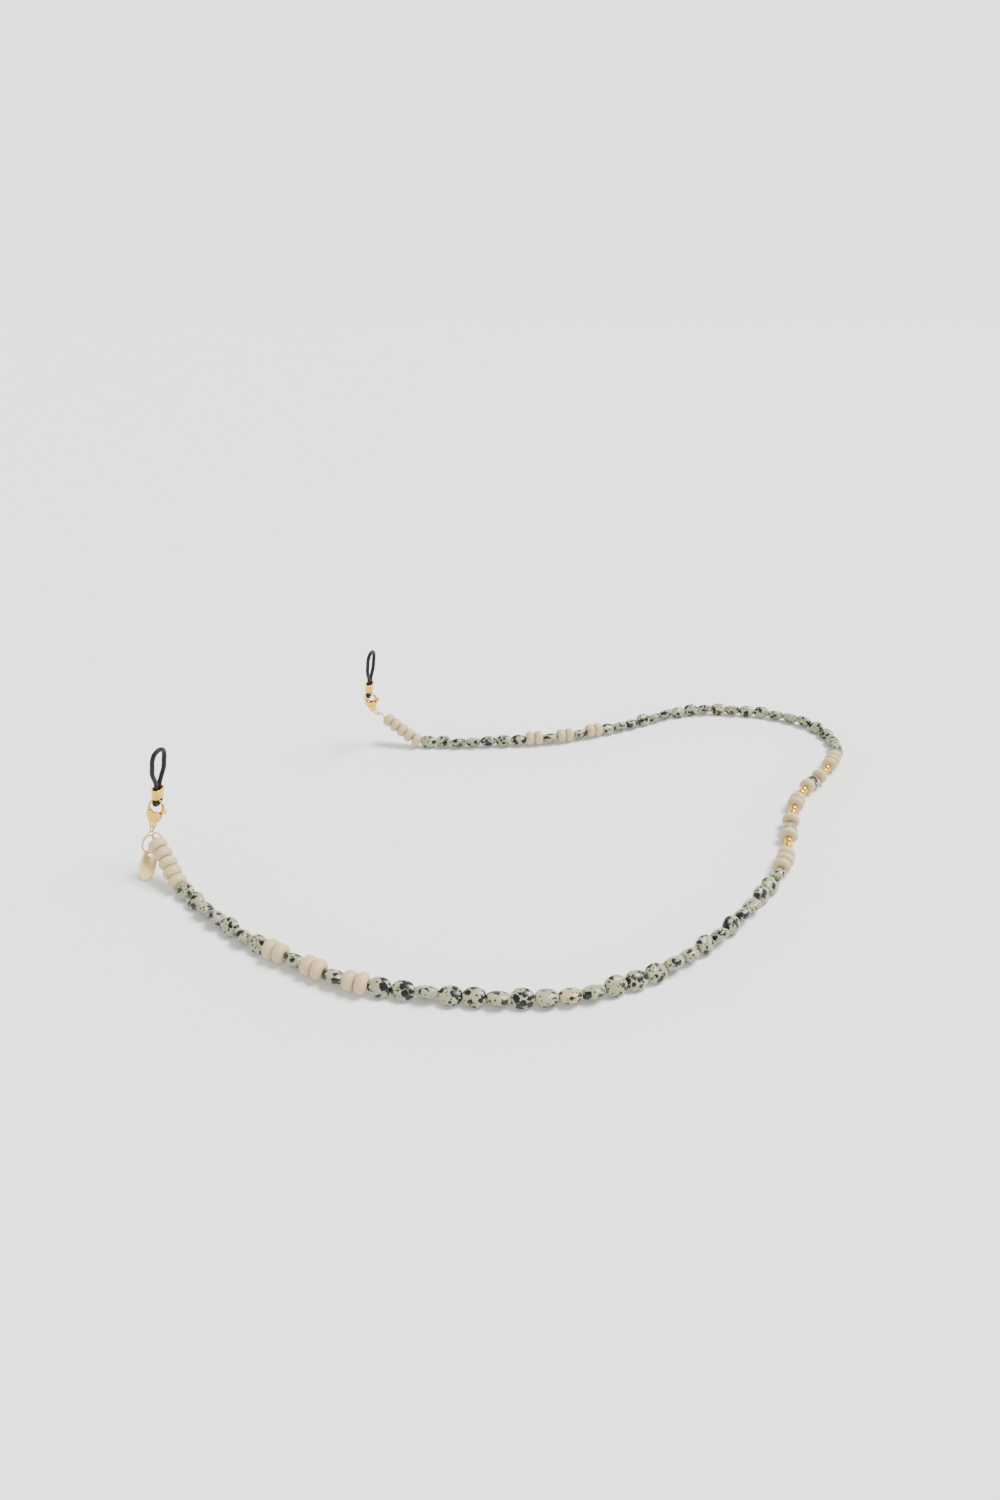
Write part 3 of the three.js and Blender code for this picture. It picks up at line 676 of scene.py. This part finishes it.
for side, end in ends.items():
    sleeve = bmesh.new()
    top, low = -17.4, -22.0
    # half the width, the round ends' radius and the height of each ring: up the outside, down the inside
    walls = [
        (2.68, 1.68, low), (2.7, 1.7, low + 0.12), (2.7, 1.7, top - 0.12), (2.68, 1.68, top),
        (2.35, 1.35, top + 0.02), (2.22, 1.22, top - 0.1), (2.2, 1.2, top - 0.3), (2.2, 1.2, low + 0.3),
        (2.22, 1.22, low + 0.1), (2.35, 1.35, low - 0.02),
    ]
    loft(sleeve, [stadium(*wall) for wall in walls], end["loop"], closed=True)
    add_mesh(
        f"{side}_flat_sleeve", sleeve, [gold_look], [f"{side}_sleeve"], f"{side}_slide",
    )


# ---- Tag and its ring ---------------------------------------------------------------------------
# A plain oval tag in champagne gold on a large jump ring, which hangs round the strap's near end,
# against the first bead. The tag's lower edge rests just off the surface.
tag_look = polished("champagne gold", (0.76, 0.53, 0.23), 0.24)


def hung(top, down, across):
    """The matrix of a piece that hangs down from top, with its width lying along across."""
    up = -down
    flat = (across - up * across.dot(up)).normalized()
    made = Matrix((flat, up, flat.cross(up))).transposed().to_4x4()
    made.translation = top
    return made


tag_ring_radius = 4.3
half_width, half_length, hole, hole_to_middle = 4.0, 6.3, 1.15, 4.3
start = station(0.001)[1]
ring_down = Vector((-0.12, -0.4, -0.91)).normalized()
lift = (ring_down - start * ring_down.dot(start)).normalized()
ring_top = ends["near"]["ring_point"] + start * 1.25 * mm - lift * 1.65 * mm
across = start.cross(ring_down)
ring = bmesh.new()
middle = ring_top + ring_down * tag_ring_radius * mm
placed = hung(middle, ring_down, across) @ Matrix.Rotation(math.radians(100), 4, "Z")
round_rings = ring_rings(tag_ring_radius * mm, 0.4 * mm, gap=1.5, steps=72, sides=16)
loft(ring, round_rings, placed, capped=True)
add_mesh("tag_jump_ring", ring, [tag_look], ["tag_ring"], "tag_ring_link")

tag_down = Vector((0.08, -0.62, -0.78)).normalized()
top = ring_top + ring_down * (2 * tag_ring_radius) * mm + tag_down * 0.3 * mm
placed = hung(top, tag_down, Vector((0.97, 0.05, 0.15)))
tag = bmesh.new()
profile = [(0.2, -0.45), (0.06, -0.36), (0.0, -0.2), (0.0, 0.2), (0.06, 0.36), (0.2, 0.45)]
angles = [2 * math.pi * k / 64 for k in range(64)]
rings = []
for inset, z in profile:
    wide, long = half_width - inset, half_length - inset
    rings.append([
        Vector((wide * math.cos(a), long * math.sin(a) - hole_to_middle, z)) * mm for a in angles
    ])
for inset, z in reversed(profile):
    radius = hole + inset
    rings.append([Vector((radius * math.cos(a), radius * math.sin(a), z)) * mm for a in angles])
loft(tag, rings, placed, closed=True)
add_mesh("oval_tag", tag, [tag_look], ["tag"], "tag_plate")


# ---- Surface ------------------------------------------------------------------------------------
# A plain pale table top, much larger than the strap. It lies a hair under the height at which the
# beads rest.
paper, _, _, _ = material("pale surface", (0.84, 0.845, 0.85), 0.9)
mesh = bmesh.new()
bmesh.ops.create_grid(mesh, x_segments=1, y_segments=1, size=60.0)
data = bpy.data.meshes.new("surface")
mesh.to_mesh(data)
mesh.free()
data.materials.append(paper)
surface = bpy.data.objects.new("surface", data)
hair = 0.0001
surface.location = (0.13, 0.085, floor_z - hair)
bpy.context.scene.collection.objects.link(surface)


# ---- Light --------------------------------------------------------------------------------------
# A bright white surround at the level of the table, softer light from above, and one broad soft
# lamp from behind and to the right.
world = bpy.data.worlds.new("surround")
world.use_nodes = True
nodes, links = world.node_tree.nodes, world.node_tree.links
place = nodes.new("ShaderNodeTexCoord")
parts = nodes.new("ShaderNodeSeparateXYZ")
level = nodes.new("ShaderNodeMapRange")
level.interpolation_type = "SMOOTHSTEP"
level.inputs["From Min"].default_value = 0.30
level.inputs["From Max"].default_value = 0.45
level.inputs["To Min"].default_value = 2.5
level.inputs["To Max"].default_value = 0.9
links.new(place.outputs["Generated"], parts.inputs["Vector"])
links.new(parts.outputs["Z"], level.inputs["Value"])
links.new(level.outputs["Result"], nodes["Background"].inputs["Strength"])
nodes["Background"].inputs["Color"].default_value = (0.985, 1.0, 1.0, 1.0)
bpy.context.scene.world = world
data = bpy.data.lights.new("lamp", "SUN")
data.angle = math.radians(28)
data.energy = 7.0
data.color = (1.0, 0.99, 0.97)
lamp = bpy.data.objects.new("lamp", data)
lamp.rotation_euler = Vector((-0.45, -0.40, -1.0)).to_track_quat("-Z", "Y").to_euler()
bpy.context.scene.collection.objects.link(lamp)
